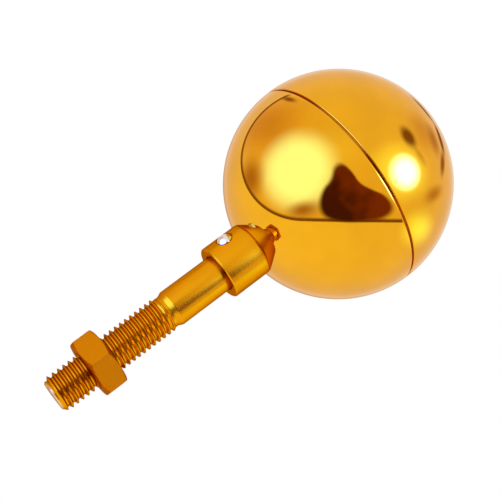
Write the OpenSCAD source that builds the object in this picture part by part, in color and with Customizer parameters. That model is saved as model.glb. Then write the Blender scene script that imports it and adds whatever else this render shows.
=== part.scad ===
// Hollow ball finial on a threaded spindle, for the top of a pole.
// Millimetres, +Z up. The origin is on the spindle's axis, at the lower face
// of the jam nut, where the finial seats on the pole. The rivet's head faces -Y.

/* [Ball] */
// Outside diameter of the ball
ball_d = 76.2; // [60:0.1:100]
// Wall thickness of the two spun shells
wall = 1.0; // [0.8:0.1:1.5]
// How far the upper shell's rim hangs below the ball's equator
rim_drop = 1.5; // [0.5:0.1:3]
// Width of the open joint between the two rims
seam_gap = 0.25; // [0.15:0.05:0.5]
// Height of the lower shell's inner lip above the upper shell's rim
lip_h = 6; // [3:0.5:10]
// Diameter of the hole at the lower shell's pole
pole_hole_d = 8.6; // [8.2:0.1:10]

/* [Collar] */
// Outside diameter of the collar
collar_d = 18.6; // [17:0.1:22]
// Length of the collar's outside, up to the ball
collar_l = 13.85; // [11:0.05:20]
// Bevel on the collar's two outer edges
collar_bevel = 0.4; // [0.2:0.05:0.8]
// Bevel at the lower mouth of the collar's bore
mouth_bevel = 0.3; // [0.2:0.05:1]

/* [Rivet] */
// Height of the rivet's axis above the collar's lower end
rivet_rise = 7.0; // [5:0.1:8]
// Diameter of the rivet's shank
rivet_d = 3.2; // [2.4:0.1:3.6]
// Diameter of the rivet's front head
head_d = 5.3; // [4.5:0.1:6]
// Height of the rivet's front head
head_h = 1.6; // [1:0.1:2]
// Height of the rivet's formed head at the back
tail_h = 1.1; // [0.8:0.1:1.5]
// Depth of the flat spots that the rivet's heads seat on
spot_depth = 0.5; // [0.45:0.05:0.8]

/* [Spindle] */
// Diameter of the smooth shank
shank_d = 12.5; // [12.45:0.05:12.6]
// Length of the shank that shows below the collar
shank_l = 18.8; // [10:0.1:40]
// Length of the taper from the shank down to the neck
taper_l = 1.6; // [1:0.1:3]
// Diameter of the neck above the thread
neck_d = 11.1; // [10.6:0.1:11.8]
// Length of the neck
neck_l = 1.9; // [1:0.1:4]
// Major diameter of the thread
thread_d = 12.4; // [12.39:0.01:12.44]
// Threads to the inch of the main thread
thread_tpi = 13; // [12:1:14]
// Length of the thread, from the neck to the tip
thread_l = 41.9; // [36:0.1:60]
// Bevel at the tip
tip_bevel = 1.5; // [1:0.1:2]
// Length of the spindle below the nut's lower face
free_l = 13; // [13:0.1:14.5]

/* [Jam nut] */
// Width of the nut across its flats
nut_af = 19.05; // [18.7:0.05:19.2]
// Height of the nut
nut_h = 7.94; // [7:0.01:9]
// Turn of the nut about the spindle, in degrees
nut_turn = 24.5; // [0:0.5:60]

/* [Inside the ball] */
// Diameter of the stud on the spindle's upper end
stud_d = 7.94; // [7.9:0.01:8]
// Threads to the inch of the stud
stud_tpi = 18; // [18:1:20]
// Length of stud that stands clear of its nut
stud_proud = 2.4; // [1:0.1:4]
// Diameter of the saddle plate that backs the lower shell
saddle_d = 22; // [20:0.5:24]
// Height of the saddle plate's rim
saddle_rim = 1.0; // [0.8:0.1:1.5]
// Outside diameter of the plain washer
washer_d = 17.5; // [16:0.1:20]
// Thickness of the plain washer
washer_t = 1.6; // [1.2:0.1:2]
// Outside diameter of the split spring washer
spring_d = 14.2; // [13:0.1:15]
// Thickness of the split spring washer
spring_t = 2.0; // [1.6:0.1:2.4]
// Width of the stud nut across its flats
stud_nut_af = 12.7; // [12.5:0.1:13]
// Height of the stud nut
stud_nut_h = 6.75; // [6:0.05:7]

/* [Hidden] */
$fn = 96;

INCH = 25.4;
GOLD = [0.93, 0.62, 0.10];
SILVER = [0.86, 0.87, 0.88];
ZINC = [0.72, 0.73, 0.75];

// Clearances and a length that reaches past any face being cut
slip = 0.1;
thread_play = 0.05;
spin_play = 0.05;
seat_gap = 0.02;
past = 1;

// Radii
ball_r = ball_d / 2;
ball_in_r = ball_r - wall;
collar_r = collar_d / 2;
shank_r = shank_d / 2;
neck_r = neck_d / 2;
thread_r = thread_d / 2;
stud_r = stud_d / 2;
bore_r = shank_r + slip;
stud_hole_r = pole_hole_d / 2;

// Pitches and the unified thread form: 60 degree flanks, flats at crest and root
pitch = INCH / thread_tpi;
stud_pitch = INCH / stud_tpi;
crest_share = 1 / 8;
root_share = 1 / 4;
flank_half_angle = 30;

// Heights along the spindle's axis, from the tip upwards
z_tip = -free_l;
z_neck_low = z_tip + thread_l;
z_neck_top = z_neck_low + neck_l;
z_shank_low = z_neck_top + taper_l;
z_collar_low = z_shank_low + shank_l;
z_ball = z_collar_low + collar_l + sqrt(ball_r * ball_r - collar_r * collar_r);
z_shoulder = z_ball - sqrt(ball_r * ball_r - stud_hole_r * stud_hole_r) - 4 * seat_gap;
z_rivet = z_collar_low + rivet_rise;
z_rim = z_ball - rim_drop;

// Heights of the fastening inside the ball, from the shell upwards
saddle_r = saddle_d / 2;
z_saddle_top = z_ball - sqrt(ball_in_r * ball_in_r - saddle_r * saddle_r) + saddle_rim;
z_washer = z_saddle_top + spin_play;
z_spring = z_washer + washer_t + spin_play;
z_stud_nut = z_spring + spring_t;
z_stud_top = z_stud_nut + stud_nut_h + stud_proud;

// Free thread below the nut: its grooves are narrow, so its crests are one wall
narrow_groove = 0.45;
first_groove_z = 0.36 * pitch;
free_grooves = 6;

// Depth of a unified thread of a given pitch
function groove_depth(p) = p * (1 - crest_share - root_share) / 2 / tan(flank_half_angle);

// One annular groove as outline points, going down the outside of a rod
function groove(z, r, p, mouth, depth) = [
    [r, z + mouth / 2],
    [r - depth, z + min(mouth, p * root_share) / 2],
    [r - depth, z - min(mouth, p * root_share) / 2],
    [r, z - mouth / 2]
];

// Grooves at each pitch from z_top down to z_low, joined into one outline
function grooves(z_top, z_low, r, p, mouth) = [
    for (z = [z_top : -p : z_low])
        for (point = groove(z, r, p, mouth, groove_depth(p)))
            point
];

// Hexagonal prism with both ends bevelled at the corners, and a threaded hole
module hexagon_nut(af, h, hole_r, mouth_r) {
    corner_r = af / 2 / cos(30);
    face_r = af / 2 - 0.02 * af;
    bevel_h = (corner_r - face_r) * tan(30);
    difference() {
        intersection() {
            cylinder(r = corner_r, h = h, $fn = 6);
            rotate_extrude()
                polygon([
                    [0, 0], [face_r, 0], [corner_r, bevel_h],
                    [corner_r, h - bevel_h], [face_r, h], [0, h]
                ]);
        }
        translate([0, 0, -past])
            cylinder(r = hole_r, h = h + 2 * past);
        for (end = [0, 1])
            translate([0, 0, end * h])
                mirror([0, 0, end])
                    translate([0, 0, -0.01])
                        cylinder(r1 = mouth_r, r2 = hole_r, h = mouth_r - hole_r);
    }
}

// A ring whose cross-section is a right-angled bevel, for taking off a rim's edge
module bevel_ring(r, z, size, up) {
    translate([0, 0, z])
        rotate_extrude()
            polygon([[r - size, 0], [r + past, 0], [r + past, up * (size + past)]]);
}

module upper_shell() {
    color(GOLD)
    translate([0, 0, z_ball])
    difference() {
        intersection() {
            sphere(r = ball_r);
            translate([0, 0, -rim_drop])
                cylinder(r = ball_r + past, h = ball_d);
        }
        intersection() {
            sphere(r = ball_in_r);
            cylinder(r = ball_r, h = ball_d);
        }
        translate([0, 0, -rim_drop - past])
            cylinder(r = ball_in_r, h = rim_drop + past);
        bevel_ring(ball_r, -rim_drop, seam_gap, 1);
    }
}

module lower_shell() {
    lip_r = ball_in_r - seat_gap;
    lip_in_r = lip_r - wall;
    shoulder_z = -rim_drop - seam_gap;
    lip_top = -rim_drop + lip_h;
    joggle_z = shoulder_z - wall - 2.5;
    color(GOLD)
    translate([0, 0, z_ball])
    difference() {
        union() {
            intersection() {
                sphere(r = ball_r);
                translate([0, 0, shoulder_z - ball_d])
                    cylinder(r = ball_r + past, h = ball_d);
            }
            translate([0, 0, shoulder_z - 0.5 * wall])
                cylinder(r = lip_in_r + wall / 2, h = 0.5 * wall + lip_top - shoulder_z);
            intersection() {
                sphere(r = lip_r);
                translate([0, 0, shoulder_z - 0.5 * wall])
                    cylinder(r = lip_r, h = 0.5 * wall + lip_top - shoulder_z);
            }
        }
        intersection() {
            sphere(r = ball_in_r);
            translate([0, 0, joggle_z - ball_d])
                cylinder(r = ball_r, h = ball_d);
        }
        translate([0, 0, joggle_z - 0.01])
            cylinder(r1 = sqrt(ball_in_r * ball_in_r - joggle_z * joggle_z), r2 = lip_in_r, h = 2.5);
        translate([0, 0, joggle_z + 2.4])
            cylinder(r = lip_in_r - 0.02, h = ball_d);
        translate([0, 0, -ball_d])
            cylinder(r = stud_hole_r, h = ball_d);
        bevel_ring(ball_r, shoulder_z, seam_gap, -1);
    }
}

module collar() {
    color(GOLD)
    difference() {
        rotate_extrude()
            polygon([
                [0, z_collar_low],
                [collar_r - collar_bevel, z_collar_low],
                [collar_r, z_collar_low + collar_bevel],
                [collar_r, z_collar_low + collar_l - collar_bevel],
                [collar_r - collar_bevel, z_collar_low + collar_l + past],
                [0, z_collar_low + collar_l + past]
            ]);
        translate([0, 0, z_ball])
            sphere(r = ball_r + seat_gap);
        translate([0, 0, z_collar_low - past])
            cylinder(r = bore_r, h = collar_l + 4 * past);
        translate([0, 0, z_collar_low - 0.01])
            cylinder(r1 = bore_r + mouth_bevel, r2 = bore_r, h = mouth_bevel);
        translate([0, 0, z_rivet])
            rotate([90, 0, 0])
                cylinder(r = rivet_d / 2 + seat_gap, h = collar_d + 2 * past, center = true);
        for (side = [-1, 1])
            translate([0, side * (collar_r - spot_depth), z_rivet])
                rotate([-90 * side, 0, 0])
                    cylinder(r = head_d / 2 + 0.3, h = spot_depth + past);
    }
}

// A domed head whose flat side is at the origin, facing down
module dome(d, h) {
    dome_r = (d * d / 4 + h * h) / (2 * h);
    intersection() {
        translate([0, 0, h - dome_r])
            sphere(r = dome_r);
        cylinder(r = d / 2, h = h);
    }
}

module cross_rivet() {
    seat = collar_r - spot_depth;
    color(SILVER)
    translate([0, 0, z_rivet]) {
        rotate([90, 0, 0])
            cylinder(r = rivet_d / 2, h = 2 * seat, center = true);
        translate([0, -seat, 0])
            rotate([90, 0, 0])
                dome(head_d, head_h);
        translate([0, seat, 0])
            rotate([-90, 0, 0])
                dome(head_d - 0.3, tail_h);
    }
}

module spindle() {
    run_out = pitch / 2;
    full_mouth = pitch * (1 - crest_share);
    stud_mouth = stud_pitch * (1 - crest_share);
    last_full = first_groove_z + floor((z_neck_low - first_groove_z) / pitch) * pitch;
    outline = concat(
        [[0, z_stud_top], [stud_r - groove_depth(stud_pitch), z_stud_top],
         [stud_r, z_stud_top - groove_depth(stud_pitch)]],
        grooves(z_stud_top - stud_pitch * 1.2, z_washer, stud_r, stud_pitch, stud_mouth),
        [[stud_r, z_shoulder], [shank_r - 0.3, z_shoulder], [shank_r, z_shoulder - 0.3],
         [shank_r, z_shank_low], [neck_r, z_neck_top], [neck_r, z_neck_low + run_out],
         [thread_r, z_neck_low]],
        grooves(last_full - pitch, first_groove_z - 0.01, thread_r, pitch, full_mouth),
        grooves(first_groove_z - pitch, first_groove_z - (free_grooves + 0.1) * pitch,
                thread_r, pitch, narrow_groove),
        [[thread_r, z_tip + tip_bevel], [thread_r - tip_bevel, z_tip], [0, z_tip]]
    );
    color(GOLD)
    difference() {
        rotate_extrude()
            polygon(outline);
        translate([0, 0, z_rivet])
            rotate([90, 0, 0])
                cylinder(r = rivet_d / 2 + seat_gap, h = shank_d + 2 * past, center = true);
    }
}

module hex_nut() {
    color(GOLD)
    rotate([0, 0, nut_turn])
        hexagon_nut(nut_af, nut_h, thread_r + thread_play, thread_r + 0.7);
}

module saddle_plate() {
    color(ZINC)
    difference() {
        intersection() {
            translate([0, 0, z_ball])
                sphere(r = ball_in_r - seat_gap);
            translate([0, 0, z_saddle_top - saddle_d])
                cylinder(r = saddle_r, h = saddle_d);
        }
        translate([0, 0, z_saddle_top - saddle_d])
            cylinder(r = stud_hole_r, h = saddle_d + past);
    }
}

module plain_washer() {
    color(ZINC)
    translate([0, 0, z_washer])
    difference() {
        cylinder(r = washer_d / 2, h = washer_t);
        translate([0, 0, -past])
            cylinder(r = stud_hole_r, h = washer_t + 2 * past);
    }
}

module spring_washer() {
    slit = 0.8;
    slant = 30;
    color(ZINC)
    translate([0, 0, z_spring])
    difference() {
        cylinder(r = spring_d / 2, h = spring_t);
        translate([0, 0, -past])
            cylinder(r = stud_r + slip, h = spring_t + 2 * past);
        translate([spring_d / 2, 0, spring_t / 2])
            rotate([slant, 0, 0])
                cube([spring_d, slit, 4 * spring_t], center = true);
    }
}

module stud_nut() {
    color(ZINC)
    translate([0, 0, z_stud_nut])
        hexagon_nut(stud_nut_af, stud_nut_h, stud_r + thread_play, stud_r + 0.5);
}

upper_shell();
lower_shell();
collar();
cross_rivet();
spindle();
hex_nut();
saddle_plate();
plain_washer();
spring_washer();
stud_nut();
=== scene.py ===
"""Looks of a gold anodised ball finial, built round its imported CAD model.

Builders work in millimetres in the CAD frame: the origin on the spindle's axis at the
jam nut's lower face, +Z towards the ball. A mesh is scaled to metres as it is made.
"""

import math

import bmesh
import bpy
import numpy as np
from mathutils import Matrix, Vector


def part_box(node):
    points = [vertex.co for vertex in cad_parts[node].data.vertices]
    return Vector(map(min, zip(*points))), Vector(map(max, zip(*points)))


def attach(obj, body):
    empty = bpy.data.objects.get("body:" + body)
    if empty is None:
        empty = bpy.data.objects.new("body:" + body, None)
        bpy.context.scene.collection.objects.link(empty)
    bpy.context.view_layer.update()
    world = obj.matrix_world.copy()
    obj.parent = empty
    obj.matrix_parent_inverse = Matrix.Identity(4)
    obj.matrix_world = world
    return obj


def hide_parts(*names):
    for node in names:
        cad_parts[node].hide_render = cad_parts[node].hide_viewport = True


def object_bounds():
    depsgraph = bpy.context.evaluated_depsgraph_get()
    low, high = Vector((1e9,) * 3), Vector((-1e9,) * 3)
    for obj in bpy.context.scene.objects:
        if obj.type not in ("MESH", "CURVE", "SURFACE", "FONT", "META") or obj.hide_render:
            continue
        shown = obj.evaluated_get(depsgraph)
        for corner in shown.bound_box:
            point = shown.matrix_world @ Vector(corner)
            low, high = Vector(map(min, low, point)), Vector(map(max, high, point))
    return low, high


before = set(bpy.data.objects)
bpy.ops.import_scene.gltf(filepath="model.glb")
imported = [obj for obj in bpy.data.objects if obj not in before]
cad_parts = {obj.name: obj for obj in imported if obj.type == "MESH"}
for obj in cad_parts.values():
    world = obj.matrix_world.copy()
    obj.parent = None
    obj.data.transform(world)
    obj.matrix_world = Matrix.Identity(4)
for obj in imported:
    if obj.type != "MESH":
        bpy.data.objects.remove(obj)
cad_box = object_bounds()

MM = 0.001

# Mesh building, in millimetres
MERGE = 0.0004
CUT_MERGE = 0.001
SPARE_TURNS = 3

# Unified thread: angle of its flanks, and its flats as shares of the pitch
FLANK_ANGLE = 30.0
CREST_FLAT = 1 / 8
ROOT_FLAT = 1 / 4

# Shells
BALL_SEGMENTS = 256
OUTER_STEPS = 110
INNER_STEPS = 90
LIP_STEPS = 12
WALL = 1.0
SEAM_GAP = 0.32
RIM_START = 0.3
LIP_GAP = 0.03
LIP_INNER_R = 36.06
JOGGLE_DROP = 2.5
JOGGLE_RISE = 2.4
SHOULDER_ROUND = 0.9
RIM_ROUND = 0.25
POLE_HOLE_R = 4.3

# Collar and rivet
TURNED_SEGMENTS = 160
COLLAR_L = 13.85
COLLAR_BORE_R = 6.4
COLLAR_BEVEL = 0.4
COLLAR_SEAT_PLAY = 0.02
COLLAR_TOP_EDGE = 0.25
DISH_STEPS = 14
MOUTH_BEVEL = 0.25
RIVET_RISE = 7.0
RIVET_R = 1.6
HEAD_R = 2.65
HEAD_H = 1.6
TAIL_R = 2.5
TAIL_H = 1.1
HEAD_ROUND = 0.15
TAIL_ROUND = 0.12
RIVET_SEGMENTS = 72
SPOT_DEPTH = 0.5
SPOT_R = 2.95
RIVET_PLAY = 0.02
CUTTER_REACH = 20.0
CUTTER_SEGMENTS = 64

# Spindle
SPINDLE_COLUMNS = 96
SHANK_R = 6.25
SHANK_L = 18.8
TAPER_L = 1.6
NECK_R = 5.55
NECK_L = 1.9
THREAD_R = 6.2
PITCH = 25.4 / 13
TIP_BEVEL = 1.5
NECK_ROUND = 0.4
SHANK_ROUND = 0.5
SHOULDER_EDGE = 0.3
STUD_R = 3.97
STUD_BEVEL = 0.9
STUD_ROOT_ROUND = 0.1
STUD_RUN_OUT = 2.0
STUD_SHOULDER_GAP = 0.08
STUD_ROWS = 8
STUD_PITCH = 25.4 / 18
# The main thread is left-hand, and one of its crests passes through this angle and height
THREAD_HAND = -1
CREST_ANGLE = 57.0
CREST_Z = 27.09
RUN_OUT = 0.9

# Jam nut
NUT_FLATS = 19.05
NUT_TURN = 24.5
NUT_EDGE_ROUND = 0.3
NUT_MOUTH = 0.7
CORNER_SPREAD = 1.2
CORNER_COLUMNS = 7
FLAT_START = 2.5
FLAT_COLUMNS = 23
NUT_BEVEL_ANGLE = 30.0
NUT_FACE_SHARE = 0.96
NUT_FACE_EDGE = 0.25
NUT_FACE_ROUND = 0.05
NUT_FACE_DROP = 0.06
THREAD_PLAY = 0.05

# Camera: where the photograph was taken from, in degrees and millimetres. Its near and
# far limits are in metres.
CAMERA_AZIMUTH = 57.0
CAMERA_ELEVATION = -15.79
CAMERA_ROLL = -53.25
CAMERA_DISTANCE = 340.2
CAMERA_LENS = 75.8
CAMERA_SENSOR = 36.0
CAMERA_NEAR = 0.01
CAMERA_FAR = 20.0
CAMERA_LIFT = 0.76

# Floor: the last two are the shares of its radius between which it fades
FLOOR_Z = -60.0
FLOOR_R = 340.0
FLOOR_THICK = 2.0
FLOOR_SEGMENTS = 128
FADE_FROM = 0.45
FADE_TO = 0.98


# ---------------------------------------------------------------- mesh building

def box_mm(node):
    """Lowest and highest corner of a CAD node, in millimetres."""
    low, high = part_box(node)
    return low / MM, high / MM


def rounded(corners, closed=True, steps=5):
    """Outline points from (r, z, radius) corners, each corner turned into an arc."""
    points = []
    count = len(corners)
    for i, (r, z, radius) in enumerate(corners):
        here = Vector((r, z))
        if radius == 0 or (not closed and i in (0, count - 1)):
            points.append((r, z))
            continue
        to_last = (Vector(corners[i - 1][:2]) - here).normalized()
        to_next = (Vector(corners[(i + 1) % count][:2]) - here).normalized()
        half = to_last.angle(to_next) / 2
        centre = here + (to_last + to_next).normalized() * radius / math.sin(half)
        start = here + to_last * radius / math.tan(half) - centre
        end = here + to_next * radius / math.tan(half) - centre
        first = math.atan2(start.y, start.x)
        sweep = (math.atan2(end.y, end.x) - first + math.pi) % (2 * math.pi) - math.pi
        for step in range(steps + 1):
            angle = first + sweep * step / steps
            points.append((centre.x + radius * math.cos(angle),
                           centre.y + radius * math.sin(angle)))
    return points


def arc(radius, height, start, end, steps):
    """Points on a circle about the axis's point at that height, angles from the equator."""
    angles = np.radians(np.linspace(start, end, steps + 1))
    return [(radius * math.cos(a), height + radius * math.sin(a), 0) for a in angles]


def even_angles(count):
    """Angles in degrees, evenly spaced round one turn."""
    return np.arange(count) * 360.0 / count


def turned(outline, angles, closed=False):
    """Points and faces of an outline of (r, z) turned about Z; a radius of 0 is a pole."""
    outline = list(outline)
    rad = np.radians(angles)
    columns = len(angles)
    points, rows = [], []
    for r, z in outline:
        on_axis = np.isscalar(r) and r == 0
        if on_axis:
            rows.append([len(points)] * columns)
            points.append((0.0, 0.0, float(z)))
        else:
            rows.append(list(range(len(points), len(points) + columns)))
            ring = np.column_stack([r * np.cos(rad), r * np.sin(rad), z + 0 * rad])
            points.extend(map(tuple, ring))
    faces = []
    pairs = list(zip(rows, rows[1:]))
    if closed:
        pairs.append((rows[-1], rows[0]))
    for low, high in pairs:
        for i in range(columns):
            k = (i + 1) % columns
            face = list(dict.fromkeys((low[i], low[k], high[k], high[i])))
            if len(face) > 2:
                faces.append(face)
    return points, faces


def screw(angles, z_low, z_high, pitch, radius_at, rows=16):
    """A helical surface between two heights, its rows of faces following the thread."""
    crest = CREST_Z + THREAD_HAND * pitch * (angles - CREST_ANGLE) / 360.0
    first = math.floor((z_low - CREST_Z) / pitch) - SPARE_TURNS
    last = math.ceil((z_high - CREST_Z) / pitch) + SPARE_TURNS
    steps = np.arange(first * rows, last * rows + 1)
    z = crest[None, :] + steps[:, None] * pitch / rows
    z = np.clip(z, z_low, z_high)
    phase = (z - crest[None, :]) / pitch
    r = radius_at(phase, z)
    rad = np.radians(angles)
    xyz = np.stack([r * np.cos(rad), r * np.sin(rad), z], axis=-1)
    columns, count = len(angles), len(steps)
    faces = []
    for i in range(columns):
        k = (i + 1) % columns
        shift = THREAD_HAND * rows if k == 0 else 0
        for j in range(count - 1):
            a = min(max(j + shift, 0), count - 1)
            b = min(max(j + 1 + shift, 0), count - 1)
            if z[j, i] == z[j + 1, i] and z[a, k] == z[b, k]:
                continue
            faces.append([j * columns + i, a * columns + k, b * columns + k,
                          (j + 1) * columns + i])
    return xyz.reshape(-1, 3).tolist(), faces


def thread_form(phase, crest_r, pitch):
    """Radius of a unified thread; whole phases are the middles of its crests."""
    flank = (1 - CREST_FLAT - ROOT_FLAT) / 2
    depth = pitch * flank / math.tan(math.radians(FLANK_ANGLE))
    away = np.abs((phase + 0.5) % 1.0 - 0.5)
    slope = np.clip((away - CREST_FLAT / 2) / flank, 0, 1)
    return crest_r - depth * slope


def solid(name, parts, sharp=32, turn=None):
    """One closed mesh object from parts that share their edges, in metres."""
    points, faces = [], []
    for part_points, part_faces in parts:
        start = len(points)
        points.extend(part_points)
        faces.extend([[i + start for i in face] for face in part_faces])
    mesh = bpy.data.meshes.new(name)
    mesh.from_pydata([[c * MM for c in point] for point in points], [], faces)
    work = bmesh.new()
    work.from_mesh(mesh)
    bmesh.ops.remove_doubles(work, verts=work.verts, dist=MERGE * MM)
    bmesh.ops.dissolve_degenerate(work, edges=work.edges, dist=MERGE * MM)
    loose = [v for v in work.verts if not v.link_faces]
    bmesh.ops.delete(work, geom=loose, context="VERTS")
    bmesh.ops.recalc_face_normals(work, faces=work.faces)
    work.to_mesh(mesh)
    work.free()
    if turn is not None:
        mesh.transform(turn)
    obj = bpy.data.objects.new(name, mesh)
    bpy.context.scene.collection.objects.link(obj)
    shade(obj, sharp)
    return obj


def shade(obj, sharp):
    """Smooth shading, with edges steeper than that many degrees kept sharp."""
    mesh = obj.data
    mesh.polygons.foreach_set("use_smooth", [True] * len(mesh.polygons))
    mesh.set_sharp_from_angle(angle=math.radians(sharp))
    mesh.update()


def cut(obj, tool, sharp=32):
    """Takes the tool's shape out of a piece, and removes the tool."""
    modifier = obj.modifiers.new("cut", "BOOLEAN")
    modifier.operation = "DIFFERENCE"
    modifier.solver = "EXACT"
    modifier.object = tool
    graph = bpy.context.evaluated_depsgraph_get()
    result = bpy.data.meshes.new_from_object(obj.evaluated_get(graph))
    work = bmesh.new()
    work.from_mesh(result)
    bmesh.ops.remove_doubles(work, verts=work.verts, dist=CUT_MERGE * MM)
    bmesh.ops.dissolve_degenerate(work, edges=work.edges, dist=CUT_MERGE * MM)
    bmesh.ops.triangulate(work, faces=work.faces)
    work.to_mesh(result)
    work.free()
    obj.modifiers.clear()
    obj.data = result
    bpy.data.objects.remove(tool)
    shade(obj, sharp)


def place(obj, material, node, body):
    """Gives a piece its material, hides the CAD node it stands for, and puts it under its body.
    """
    obj.data.materials.clear()
    obj.data.materials.append(material)
    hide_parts(node)
    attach(obj, body)


# ---------------------------------------------------------------- sizes from the CAD

ball_low, ball_high = box_mm("upper_shell")
BALL_R = (ball_high.x - ball_low.x) / 2
BALL_Z = ball_high.z - BALL_R
RIM_Z = ball_low.z
LIP_TOP = box_mm("lower_shell")[1].z
collar_low, collar_high = box_mm("collar")
COLLAR_R = (collar_high.x - collar_low.x) / 2
COLLAR_Z = collar_low.z
spindle_low, spindle_high = box_mm("spindle")
TIP_Z = spindle_low.z
STUD_TOP = spindle_high.z
SHANK_Z = COLLAR_Z - SHANK_L
NECK_TOP = SHANK_Z - TAPER_L
NECK_Z = NECK_TOP - NECK_L
STUD_Z = BALL_Z - math.sqrt(BALL_R ** 2 - POLE_HOLE_R ** 2) - STUD_SHOULDER_GAP
STUD_THREAD_Z = box_mm("plain_washer")[0].z
NUT_H = box_mm("hex_nut")[1].z
RIVET_Z = COLLAR_Z + RIVET_RISE


# ---------------------------------------------------------------- pieces

def upper_shell():
    """Upper half of the ball, a spun cup with a crisp rim."""
    drop = math.degrees(math.asin((RIM_Z - BALL_Z) / BALL_R))
    inner_r = BALL_R - WALL
    outside = arc(BALL_R, BALL_Z, 90, drop + RIM_START, OUTER_STEPS)
    rim = [(math.sqrt(BALL_R ** 2 - (RIM_Z - BALL_Z) ** 2), RIM_Z, RIM_ROUND),
           (inner_r, RIM_Z, RIM_ROUND)]
    inside = arc(inner_r, BALL_Z, 0, 90, INNER_STEPS)
    corners = [(0, BALL_R + BALL_Z, 0)] + outside[1:] + rim + inside[:-1]
    corners += [(0, BALL_Z + inner_r, 0)]
    outline = rounded(corners, closed=False)
    return solid("ball_upper", [turned(outline, even_angles(BALL_SEGMENTS))])


def lower_shell():
    """Lower half of the ball: a rolled shoulder, and a lip that the upper half sits on."""
    shoulder_z = RIM_Z - SEAM_GAP
    hole = math.degrees(math.acos(POLE_HOLE_R / BALL_R))
    top = math.degrees(math.asin((shoulder_z - BALL_Z - SHOULDER_ROUND) / BALL_R))
    lip_r = BALL_R - WALL - LIP_GAP
    lip_angle = math.degrees(math.asin((LIP_TOP - BALL_Z) / lip_r))
    lip_low = math.degrees(math.asin((shoulder_z - BALL_Z) / lip_r))
    joggle_z = shoulder_z - WALL - JOGGLE_DROP
    inner_r = BALL_R - WALL
    joggle = math.degrees(math.asin((joggle_z - BALL_Z) / inner_r))
    inner_hole = math.degrees(math.acos(POLE_HOLE_R / inner_r))
    corners = arc(BALL_R, BALL_Z, -hole, top, OUTER_STEPS)
    shoulder_r = math.sqrt(BALL_R ** 2 - (shoulder_z - BALL_Z) ** 2)
    corners += [(shoulder_r, shoulder_z, SHOULDER_ROUND)]
    corners += arc(lip_r, BALL_Z, lip_low, lip_angle, LIP_STEPS)
    corners += [(LIP_INNER_R, LIP_TOP, 0), (LIP_INNER_R, joggle_z + JOGGLE_RISE, 0)]
    corners += arc(inner_r, BALL_Z, joggle, -inner_hole, INNER_STEPS)
    outline = rounded(corners, steps=8)
    return solid("ball_lower", [turned(outline, even_angles(BALL_SEGMENTS), closed=True)])


def across():
    """Turns a piece made about Z to lie along Y, at the rivet's height."""
    lift = Matrix.Translation((0, 0, RIVET_Z * MM))
    return lift @ Matrix.Rotation(math.radians(90), 4, "X")


def rivet_cutter():
    """Tool that cuts the rivet's hole and both spot faces across the collar."""
    seat = COLLAR_R - SPOT_DEPTH
    hole_r = RIVET_R + RIVET_PLAY
    side = [(SPOT_R, -CUTTER_REACH), (SPOT_R, -seat), (hole_r, -seat), (hole_r, seat),
            (SPOT_R, seat), (SPOT_R, CUTTER_REACH)]
    outline = [(0, -CUTTER_REACH)] + side + [(0, CUTTER_REACH)]
    return solid("tool", [turned(outline, even_angles(CUTTER_SEGMENTS))], turn=across())


def collar():
    """Turned ring between spindle and ball, with spot faces for the rivet's two heads."""
    seat_r = BALL_R + COLLAR_SEAT_PLAY
    edge_r = COLLAR_R - COLLAR_TOP_EDGE
    edge = math.degrees(math.acos(edge_r / seat_r))
    bore = math.degrees(math.acos(COLLAR_BORE_R / seat_r))
    dish = arc(seat_r, BALL_Z, -edge, -bore, DISH_STEPS)
    side_top = COLLAR_Z + COLLAR_L - COLLAR_BEVEL
    corners = [(COLLAR_BORE_R, COLLAR_Z + MOUTH_BEVEL, 0.1),
               (COLLAR_BORE_R + MOUTH_BEVEL, COLLAR_Z, 0.08),
               (COLLAR_R - COLLAR_BEVEL, COLLAR_Z, 0.12),
               (COLLAR_R, COLLAR_Z + COLLAR_BEVEL, 0.15),
               (COLLAR_R, side_top, 0.2)] + dish
    outline = rounded(corners)
    ring = solid("collar_ring", [turned(outline, even_angles(TURNED_SEGMENTS), closed=True)])
    cut(ring, rivet_cutter())
    return ring


def dome(radius, height, start, steps=10):
    """Outline of a domed head from its edge to its top, standing on that height."""
    big = (radius ** 2 + height ** 2) / (2 * height)
    low = math.asin((big - height) / big)
    angles = np.linspace(low, math.pi / 2, steps + 1)
    return [(big * math.cos(a), start + height - big + big * math.sin(a), 0) for a in angles]


def cross_rivet():
    """Rivet through collar and spindle: a pressed dome in front, a formed head behind."""
    seat = COLLAR_R - SPOT_DEPTH
    front = dome(HEAD_R, HEAD_H, seat)
    tail = [(r, -z, 0) for r, z, _ in reversed(dome(TAIL_R, TAIL_H, seat))]
    tail[0] = (0, tail[0][1], 0)
    front[-1] = (0, seat + HEAD_H, 0)
    corners = tail[:-1] + [(TAIL_R, -seat, TAIL_ROUND), (RIVET_R, -seat, 0), (RIVET_R, seat, 0),
                           (HEAD_R, seat, HEAD_ROUND)] + front[1:]
    outline = rounded(corners, closed=False)
    return solid("rivet", [turned(outline, even_angles(RIVET_SEGMENTS))], turn=across())


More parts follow.
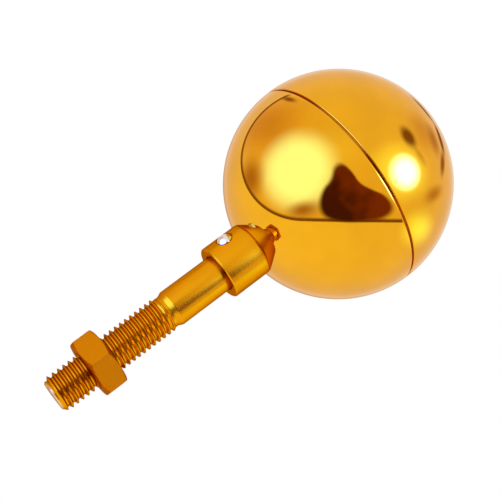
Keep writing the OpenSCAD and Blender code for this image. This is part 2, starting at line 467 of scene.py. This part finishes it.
def spindle():
    """One turned bar: bevelled tip, thread, neck, taper, shank, shoulder, stud."""
    angles = even_angles(SPINDLE_COLUMNS)
    root_r = float(thread_form(np.array([0.5]), THREAD_R, PITCH)[0])

    def main_thread(phase, z):
        form = thread_form(phase, THREAD_R, PITCH)
        tip = THREAD_R - TIP_BEVEL + (z - TIP_Z)
        top = NECK_R + (THREAD_R - NECK_R) * np.clip((NECK_Z + RUN_OUT - z) / RUN_OUT, 0, 1)
        floor = root_r + (NECK_R - root_r) * np.clip((z - NECK_Z + RUN_OUT) / RUN_OUT, 0, 1)
        bottom = np.minimum(floor, tip)
        return np.maximum(np.minimum(np.minimum(form, tip), top), bottom)

    def stud_thread(phase, z):
        form = thread_form(phase, STUD_R, STUD_PITCH)
        end = STUD_R - STUD_BEVEL + (STUD_TOP - z)
        start = STUD_R - STUD_RUN_OUT * (z - STUD_THREAD_Z)
        return np.minimum(np.maximum(form, start), end)

    tip_r = THREAD_R - TIP_BEVEL
    z_thread_top = NECK_Z + RUN_OUT
    tip = [(0, TIP_Z), (tip_r / 2, TIP_Z), (tip_r, TIP_Z)]
    middle = rounded([(NECK_R, z_thread_top, 0), (NECK_R, NECK_TOP, NECK_ROUND),
                      (SHANK_R, SHANK_Z, SHANK_ROUND), (SHANK_R, STUD_Z, SHOULDER_EDGE),
                      (STUD_R, STUD_Z, STUD_ROOT_ROUND), (STUD_R, STUD_THREAD_Z, 0)],
                     closed=False)
    top_r = STUD_R - STUD_BEVEL
    parts = [turned(tip, angles),
             screw(angles, TIP_Z, z_thread_top, PITCH, main_thread),
             turned(middle, angles),
             screw(angles, STUD_THREAD_Z, STUD_TOP, STUD_PITCH, stud_thread, STUD_ROWS),
             turned([(top_r, STUD_TOP), (0, STUD_TOP)], angles)]
    return solid("threaded_spindle", parts, sharp=28)


def hexagon_radius(angles):
    """Distance from the axis to the nut's side at each angle, its corners a little round."""
    flat_r = NUT_FLATS / 2
    centre = (flat_r - NUT_EDGE_ROUND) / math.cos(math.radians(30))
    away = np.radians(np.abs((angles - NUT_TURN + 30) % 60 - 30))
    side = flat_r / np.cos(math.radians(30) - away)
    reach = NUT_EDGE_ROUND ** 2 - (centre * np.sin(away)) ** 2
    round_r = centre * np.cos(away) + np.sqrt(np.maximum(reach, 0))
    return np.where(reach > 0, np.minimum(side, round_r), side)


def hex_nut():
    """Jam nut with both ends bevelled, and a thread inside that meets the spindle's."""
    near_corner = np.linspace(-CORNER_SPREAD, CORNER_SPREAD, CORNER_COLUMNS)
    flat = np.linspace(FLAT_START, 60 - FLAT_START, FLAT_COLUMNS)
    one_side = np.concatenate([near_corner, flat])
    angles = np.sort(np.concatenate([one_side + 60 * k for k in range(6)]) + NUT_TURN)
    side_r = hexagon_radius(angles)
    face_r = NUT_FLATS / 2 * NUT_FACE_SHARE
    bevel = (side_r - face_r) * math.tan(math.radians(NUT_BEVEL_ANGLE))
    mouth_r = THREAD_R + NUT_MOUTH

    def inner_thread(phase, z):
        form = thread_form(phase, THREAD_R + THREAD_PLAY, PITCH)
        from_end = np.minimum(z, NUT_H - z)
        return np.maximum(form, mouth_r - from_end)

    level = np.zeros(len(angles))
    flat_r = level + face_r - NUT_FACE_EDGE
    edge_r = level + face_r + NUT_FACE_ROUND
    outside = turned([(mouth_r, level + NUT_H), (flat_r, level + NUT_H),
                      (edge_r, level + NUT_H - NUT_FACE_DROP), (side_r, NUT_H - bevel),
                      (side_r, bevel), (edge_r, level + NUT_FACE_DROP),
                      (flat_r, level), (mouth_r, level)], angles)
    inside = screw(angles, 0.0, NUT_H, PITCH, inner_thread)
    return solid("jam_nut_gold", [outside, inside], sharp=25)


# ---------------------------------------------------------------- shader helpers

class Tree:
    """Adds and joins the nodes of one shader tree."""

    def __init__(self, owner):
        owner.use_nodes = True
        self.tree = owner.node_tree
        self.tree.nodes.clear()

    def add(self, kind, inputs=None, **settings):
        """A new node, its inputs joined or set, and its own settings made."""
        node = self.tree.nodes.new(kind)
        for name, value in settings.items():
            setattr(node, name, value)
        for name, value in (inputs or {}).items():
            self.put(node.inputs[name], value)
        return node

    def put(self, socket, value):
        """Joins the value to the socket if it is an output, and sets it otherwise."""
        if isinstance(value, bpy.types.NodeSocket):
            self.tree.links.new(value, socket)
        else:
            socket.default_value = value

    def math(self, operation, first, second=0.0):
        """Result of one sum on values or outputs."""
        node = self.add("ShaderNodeMath", {0: first, 1: second}, operation=operation)
        return node.outputs[0]

    def ramp(self, value, low, high, to_low=0.0, to_high=1.0):
        """Runs smoothly from to_low at low to to_high at high."""
        node = self.add("ShaderNodeMapRange", {
            "Value": value, "From Min": low, "From Max": high,
            "To Min": to_low, "To Max": to_high}, interpolation_type="SMOOTHSTEP")
        return node.outputs[0]

    def mix(self, factor, first, second):
        """A colour between first, at factor 0, and second, at factor 1."""
        node = self.add("ShaderNodeMix", {0: factor, 6: first, 7: second}, data_type="RGBA")
        return node.outputs[2]


def toward(azimuth, elevation):
    """Unit vector for a direction, azimuth 0 towards -Y and 90 towards +X."""
    a, e = math.radians(azimuth), math.radians(elevation)
    return Vector((math.sin(a) * math.cos(e), -math.cos(a) * math.cos(e), math.sin(e)))


# ---------------------------------------------------------------- studio

# The studio's light is laid out as a map round the way back to the camera: degrees to
# the right and degrees down. A patch is: middle right, middle down, half width, half
# height, tilt in degrees, share of the radius that fades, and its light.
LAMP = (63.8, -10.5, 21.5, 21.5, 0, 0.75, (5.0, 10.0, 95.0))
LAMP_GLOW = (60, -11, 42, 36, 0, 0.9, (1.6, 2.4, 3.0))
LAMP_HALO = (56, -14, 44, 38, 0, 0.95, (1.38, 1.5, 1.4))
SECOND_GLOW = (88, 46, 32, 26, 0, 1.0, (1.6, 2.6, 2.4))
TOP_CARD = (70, -47, 11, 17, -30, 0.7, (0.3, 0.16, 0.12))
TOP_TRAIL = (83, -28, 6, 17, -38, 0.9, (0.75, 0.55, 0.5))
TOP_SHADE = (92, -58, 26, 34, -20, 0.9, (0.95, 0.78, 0.7))
ARC_HIGH = (110, -95, 5, 26, -35, 0.6, (0.32, 0.17, 0.13))
ARC_MIDDLE = (124, -60, 5.5, 27, -6, 0.6, (0.3, 0.16, 0.12))
ARC_SHADE = (108, -52, 13, 28, -10, 0.95, (0.68, 0.46, 0.34))
ARC_LOW = (120, -28, 7, 22, 12, 0.8, (0.42, 0.24, 0.18))
SMEAR = (104, 8, 24, 12, -30, 0.95, (0.72, 0.5, 0.35))
SIDE_SHADE = (-78, -72, 60, 55, 0, 0.9, (0.92, 0.66, 0.5))
MID_LIGHT = (-2, -35, 40, 30, 20, 0.95, (1.22, 1.3, 1.2))
DIM_SIDE = (-98, -8, 24, 36, 0, 0.95, (0.6, 0.36, 0.25))
WINDOW_GLOW = (-44, -11, 49, 50, 0, 0.6, (1.6, 3.2, 19.0))
CORNER_SHADE = (-51, -99, 16, 5.5, 41, 0.9, (0.34, 0.16, 0.1))
SOFT_CARD = (-38, 28, 26, 13, -12, 0.95, (0.62, 0.4, 0.25))

# A plain dark card, as (azimuth, elevation) corners seen from the ball's middle
CARD_DISTANCE = 300.0
CARD_CORNERS = ((38, -14), (40, -5), (54, -3), (67, -4), (80, 4), (92, 13), (110, 15),
                (111, 0), (104, -14), (97, -34), (83, -52), (62, -50), (49, -38), (47, -24))
CARD_LIGHT = (0.075, 0.02, 0.012, 1)
CARD_SHEEN = (0.24, 0.06, 0.015, 1)
# The card's light warms from one height to the other, once a cloud pattern has raised
# each of its points by up to CARD_CLOUD.
CARD_DARK_Z = 45.0
CARD_WARM_Z = 230.0
CARD_CLOUD = 250.0
CARD_CLOUD_SCALE = 13.0
CARD_SMOOTHING = 3
CARD_FADE = 0.2

# The opening that the camera looks through: its middle and radius on the map, and the
# elevation of its top edge. The two shares are of its radius.
OPENING_MIDDLE = (-40.0, -35.0)
OPENING_R = 75.0
OPENING_TOP = 17.5
OPENING_SOFT = 1.0
OPENING_DARKENS = (0.925, 0.968)
OPENING_ENDS = (0.985, 1.0)

# Light of the surround: low and high, off to the sides, and behind the object. It changes
# between two elevations, then between two angles from the way back to the camera, twice.
LOW_TO_HIGH = (-80, 70)
TO_SIDE = (105, 150)
TO_REAR = (152, 172)
LOW_LIGHT = (1.3, 1.34, 1.2, 1)
HIGH_LIGHT = (1.16, 1.15, 1.2, 1)
SIDE_LIGHT = (1.02, 0.98, 0.9, 1)
REAR_LIGHT = (0.66, 0.42, 0.2, 1)
OPENING_LIGHT = (1.16, 1.08, 0.9, 1)
OPENING_EDGE = (0.26, 0.14, 0.09, 1)
WHITE = (1, 1, 1, 1)


class Studio:
    """The shader values that say where a ray points, and the patches laid over them."""

    def __init__(self, tree, right, down, back):
        self.tree = tree
        self.direction = tree.add("ShaderNodeTexCoord").outputs["Generated"]
        across, below, behind = [self.dot(axis) for axis in (right, down, back)]
        square = tree.math("ADD", tree.math("MULTIPLY", across, across),
                           tree.math("MULTIPLY", below, below))
        away = tree.math("MAXIMUM", tree.math("SQRT", square), 1e-4)
        self.angle = tree.math("MULTIPLY", tree.math("ARCCOSINE", behind), 180 / math.pi)
        scale = tree.math("DIVIDE", self.angle, away)
        self.x = tree.math("MULTIPLY", across, scale)
        self.y = tree.math("MULTIPLY", below, scale)
        height = self.dot(Vector((0, 0, 1)))
        self.elevation = tree.math("MULTIPLY", tree.math("ARCSINE", height), 180 / math.pi)

    def dot(self, axis):
        """How far the ray points along an axis."""
        node = self.tree.add("ShaderNodeVectorMath", {0: self.direction, 1: axis},
                             operation="DOT_PRODUCT")
        return node.outputs["Value"]

    def patch(self, light, spec):
        """Lays one soft oval patch of light over the light so far."""
        x, y, wide, tall, tilt, fade, colour = spec
        tree = self.tree
        dx = tree.math("SUBTRACT", self.x, x)
        dy = tree.math("SUBTRACT", self.y, y)
        cos, sin = math.cos(math.radians(tilt)), math.sin(math.radians(tilt))
        along = tree.math("ADD", tree.math("MULTIPLY", dx, cos / wide),
                          tree.math("MULTIPLY", dy, sin / wide))
        over = tree.math("ADD", tree.math("MULTIPLY", dy, cos / tall),
                         tree.math("MULTIPLY", dx, -sin / tall))
        out = tree.math("SQRT", tree.math("ADD", tree.math("MULTIPLY", along, along),
                                          tree.math("MULTIPLY", over, over)))
        return tree.mix(tree.ramp(out, 1.0 - fade, 1.0, 1.0, 0.0), light, (*colour, 1.0))

    def opening(self):
        """0 in the middle of the opening that the camera looks through, 1 at its edge."""
        tree = self.tree
        left = tree.math("MINIMUM", tree.math("SUBTRACT", self.x, OPENING_MIDDLE[0]), 0.0)
        high = tree.math("SUBTRACT", self.y, OPENING_MIDDLE[1])
        square = tree.math("ADD", tree.math("MULTIPLY", left, left),
                           tree.math("MULTIPLY", high, high))
        return tree.math("DIVIDE", tree.math("SQRT", square), OPENING_R)


def studio():
    """White surround with an opening for the camera, one bright lamp, soft plain shapes."""
    world = bpy.data.worlds.new("studio")
    bpy.context.scene.world = world
    tree = Tree(world)
    right, up, back = camera_axes()
    room = Studio(tree, right, -up, back)

    light = tree.mix(tree.ramp(room.elevation, *LOW_TO_HIGH), LOW_LIGHT, HIGH_LIGHT)
    light = tree.mix(tree.ramp(room.angle, *TO_SIDE), light, SIDE_LIGHT)
    light = tree.mix(tree.ramp(room.angle, *TO_REAR), light, REAR_LIGHT)
    for spec in (SECOND_GLOW, TOP_SHADE, ARC_SHADE, ARC_HIGH, ARC_MIDDLE, ARC_LOW, SMEAR,
                 LAMP_HALO, TOP_TRAIL, TOP_CARD, LAMP_GLOW, LAMP):
        light = room.patch(light, spec)

    inside = OPENING_LIGHT
    for spec in (SIDE_SHADE, CORNER_SHADE, MID_LIGHT, WINDOW_GLOW, DIM_SIDE, SOFT_CARD):
        inside = room.patch(inside, spec)
    edge = room.opening()
    inside = tree.mix(tree.ramp(edge, *OPENING_DARKENS), inside, OPENING_EDGE)
    below_top = tree.ramp(room.elevation, OPENING_TOP - OPENING_SOFT,
                          OPENING_TOP + OPENING_SOFT, 1.0, 0.0)
    mask = tree.math("MULTIPLY", tree.ramp(edge, *OPENING_ENDS, 1.0, 0.0), below_top)
    light = tree.mix(mask, light, inside)

    rays = tree.add("ShaderNodeLightPath").outputs
    light = tree.mix(rays["Is Camera Ray"], light, WHITE)
    background = tree.add("ShaderNodeBackground", {"Color": light, "Strength": 1.0})
    tree.add("ShaderNodeOutputWorld", {"Surface": background.outputs[0]})


def dark_card():
    """Plain dark card, soft at its edge: only reflections show it, and it blocks light."""
    material = bpy.data.materials.new("dark_card")
    tree = Tree(material)
    spot = tree.add("ShaderNodeTexCoord").outputs["Object"]
    cloud = tree.add("ShaderNodeTexNoise", {
        "Vector": spot, "Scale": CARD_CLOUD_SCALE, "Detail": 1.0})
    height = tree.add("ShaderNodeSeparateXYZ", {0: spot}).outputs["Z"]
    height = tree.math("ADD", height, tree.math("MULTIPLY", cloud.outputs[0], CARD_CLOUD * MM))
    tone = tree.mix(tree.ramp(height, CARD_DARK_Z * MM, CARD_WARM_Z * MM), CARD_LIGHT,
                    CARD_SHEEN)
    glow = tree.add("ShaderNodeEmission", {"Color": tone, "Strength": 1.0})
    clear = tree.add("ShaderNodeBsdfTransparent")
    cover = tree.add("ShaderNodeAttribute", attribute_name="cover").outputs["Fac"]
    both = tree.add("ShaderNodeMixShader", {
        0: tree.ramp(cover, 0.0, 1.0), 1: clear.outputs[0], 2: glow.outputs[0]})
    tree.add("ShaderNodeOutputMaterial", {"Surface": both.outputs[0]})
    outline = np.array(CARD_CORNERS, float)
    for _ in range(CARD_SMOOTHING):
        after = np.roll(outline, -1, axis=0)
        outline = np.stack([0.75 * outline + 0.25 * after,
                            0.25 * outline + 0.75 * after], axis=1).reshape(-1, 2)
    middle = outline.mean(axis=0)
    count = len(outline)
    points, faces = [], []
    for share in (1.0, 1.0 - CARD_FADE, 0.0):
        for a, e in middle + (outline - middle) * share:
            way = toward(a, e)
            reach = CARD_DISTANCE / math.hypot(way.x, way.y)
            points.append((way * reach + Vector((0, 0, BALL_Z))) * MM)
    for ring in range(2):
        for i in range(count):
            k = (i + 1) % count
            faces.append([ring * count + i, ring * count + k, (ring + 1) * count + k,
                          (ring + 1) * count + i])
    mesh = bpy.data.meshes.new("dark_card")
    mesh.from_pydata(points, [], faces)
    cover = mesh.attributes.new("cover", "FLOAT", "POINT")
    cover.data.foreach_set("value", [0.0] * count + [1.0] * (2 * count))
    mesh.materials.append(material)
    card = bpy.data.objects.new("dark_card", mesh)
    bpy.context.scene.collection.objects.link(card)
    for kind in ("camera", "diffuse", "transmission"):
        setattr(card, "visible_" + kind, False)


def floor():
    """Plain pale floor that fades into the white surround at its edge."""
    material = bpy.data.materials.new("pale_floor")
    tree = Tree(material)
    spot = tree.add("ShaderNodeTexCoord").outputs["Object"]
    length = tree.add("ShaderNodeVectorMath", {0: spot}, operation="LENGTH").outputs["Value"]
    grain = tree.add("ShaderNodeTexNoise", {"Vector": spot, "Scale": 60.0})
    tone = tree.mix(grain.outputs[0], (0.9, 0.9, 0.9, 1), (0.93, 0.93, 0.93, 1))
    matt = tree.add("ShaderNodeBsdfPrincipled", {"Base Color": tone, "Roughness": 0.6})
    glow = tree.add("ShaderNodeEmission", {"Color": WHITE, "Strength": 1.0})
    fade = tree.ramp(length, FADE_FROM * FLOOR_R * MM, FADE_TO * FLOOR_R * MM)
    both = tree.add("ShaderNodeMixShader", {0: fade, 1: matt.outputs[0], 2: glow.outputs[0]})
    tree.add("ShaderNodeOutputMaterial", {"Surface": both.outputs[0]})
    outline = [(0, 0), (FLOOR_R / 2, 0), (FLOOR_R, 0), (FLOOR_R, -FLOOR_THICK),
               (0, -FLOOR_THICK)]
    disc = solid("floor", [turned(outline, even_angles(FLOOR_SEGMENTS))])
    disc.location.z = FLOOR_Z * MM
    disc.data.materials.append(material)
    disc.visible_glossy = False


def camera_axes():
    """Right, up and back of the camera at the photograph's viewing angle."""
    back = toward(CAMERA_AZIMUTH, CAMERA_ELEVATION)
    level_right = Vector((0, 0, 1)).cross(back).normalized()
    level_up = back.cross(level_right)
    roll = math.radians(CAMERA_ROLL)
    up = level_up * math.cos(roll) + level_right * math.sin(roll)
    return up.cross(back), up, back


def camera():
    """Camera at the photograph's viewing angle, rolled so that the ball is upper right."""
    low, high = cad_box
    aim = (low + high) / 2 + Vector((0, 0, CAMERA_LIFT * MM))
    right, up, back = camera_axes()
    turn = Matrix((right, up, back)).transposed().to_4x4()
    data = bpy.data.cameras.new("camera")
    data.lens = CAMERA_LENS
    data.sensor_width = CAMERA_SENSOR
    data.clip_start = CAMERA_NEAR
    data.clip_end = CAMERA_FAR
    obj = bpy.data.objects.new("camera", data)
    bpy.context.scene.collection.objects.link(obj)
    obj.matrix_world = Matrix.Translation(aim + back * CAMERA_DISTANCE * MM) @ turn
    bpy.context.scene.camera = obj


# ---------------------------------------------------------------- materials

# Depth of the tool marks, size of the cloudy changes, and how dark their dark parts are
MARK_DEPTH = 0.02
CLOUD_SCALE = 90.0
SHADED = 0.93
SATIN_EDGE = (0.42, 0.26, 0.12)

# The spindle's tip turns paler towards its end face: how far up, and the colour there
PALE_END_L = 0.9
PALE_END_TONE = (0.78, 0.46, 0.2, 1)


def metal(name, colour, roughness, rough_change, marks, bump, coat=0.0, edge=(1, 1, 1),
          pale_end=None):
    """Turned metal: rings of fine tool marks about Z, and a cloudy tone and roughness.

    marks is about how many rings a metre has, edge tints the metal where it is seen edge
    on, and the last argument is the height of an end towards which the colour turns paler.
    """
    material = bpy.data.materials.new(name)
    tree = Tree(material)
    spot = tree.add("ShaderNodeTexCoord").outputs["Object"]
    xyz = tree.add("ShaderNodeSeparateXYZ", {0: spot}).outputs
    rings = tree.add("ShaderNodeTexNoise", {
        "W": tree.math("MULTIPLY", xyz["Z"], marks), "Scale": 1.0, "Detail": 3.0,
        "Roughness": 0.7}, noise_dimensions="1D")
    cloud = tree.add("ShaderNodeTexNoise", {
        "Vector": spot, "Scale": CLOUD_SCALE, "Detail": 3.0})
    blend = tree.math("MULTIPLY", tree.math("ADD", rings.outputs[0], cloud.outputs[0]), 0.5)
    rough = tree.ramp(blend, 0.3, 0.7, roughness - rough_change, roughness + rough_change)
    low = tuple(c * SHADED for c in colour)
    tone = tree.mix(tree.ramp(cloud.outputs[0], 0.3, 0.7), (*low, 1), (*colour, 1))
    # The colour turns paler over a short length towards the end at the given height
    if pale_end is not None:
        pale_share = tree.ramp(xyz["Z"], pale_end * MM, (pale_end + PALE_END_L) * MM, 1.0, 0.0)
        tone = tree.mix(pale_share, tone, PALE_END_TONE)
    height = tree.add("ShaderNodeBump", {"Height": rings.outputs[0], "Strength": bump,
                                         "Distance": MARK_DEPTH * MM})
    surface = tree.add("ShaderNodeBsdfPrincipled", {
        "Base Color": tone, "Roughness": rough, "Normal": height.outputs[0],
        "Metallic": 1.0, "Specular Tint": (*edge, 1.0), "Coat Weight": coat,
        "Coat Roughness": 0.03})
    tree.add("ShaderNodeOutputMaterial", {"Surface": surface.outputs[0]})
    return material


def gold_mirror():
    """Polished and anodised shell, with the faintest trace of spinning."""
    return metal("gold_mirror", colour=(0.72, 0.325, 0.004), roughness=0.04,
                 rough_change=0.01, marks=900, bump=0.01, coat=0.15, edge=(1.0, 0.88, 0.72))


def gold_satin():
    """Turned and anodised collar and spindle, paler towards the spindle's end face."""
    return metal("gold_satin", colour=(0.7, 0.275, 0.003), roughness=0.26,
                 rough_change=0.04, marks=2500, bump=0.01, edge=SATIN_EDGE, pale_end=TIP_Z)


def gold_nut():
    """Anodised nut, a little darker and more matt."""
    return metal("gold_nut", colour=(0.6, 0.18, 0.001), roughness=0.4,
                 rough_change=0.04, marks=1800, bump=0.015, edge=SATIN_EDGE)


def rivet_silver():
    """Bright aluminium of the rivet."""
    return metal("rivet_silver", colour=(0.72, 0.64, 0.5), roughness=0.22,
                 rough_change=0.06, marks=2000, bump=0.02)


def plated_steel():
    """Zinc-plated steel of the hidden fastening."""
    return metal("plated_steel", colour=(0.55, 0.56, 0.58), roughness=0.34,
                 rough_change=0.08, marks=1500, bump=0.2)


# ---------------------------------------------------------------- assembly

def build():
    """Makes each piece, and gives the hidden CAD nodes their material."""
    mirror = gold_mirror()
    satin = gold_satin()
    place(upper_shell(), mirror, "upper_shell", "finial")
    place(lower_shell(), mirror, "lower_shell", "finial")
    place(collar(), satin, "collar", "finial")
    place(cross_rivet(), rivet_silver(), "cross_rivet", "finial")
    place(spindle(), satin, "spindle", "finial")
    place(hex_nut(), gold_nut(), "hex_nut", "jam_nut")
    plated = plated_steel()
    for name in ("saddle_plate", "plain_washer", "spring_washer", "stud_nut"):
        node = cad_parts[name]
        node.data.materials.clear()
        node.data.materials.append(plated)


bpy.context.scene.view_settings.view_transform = "Standard"
build()
studio()
floor()
dark_card()
camera()
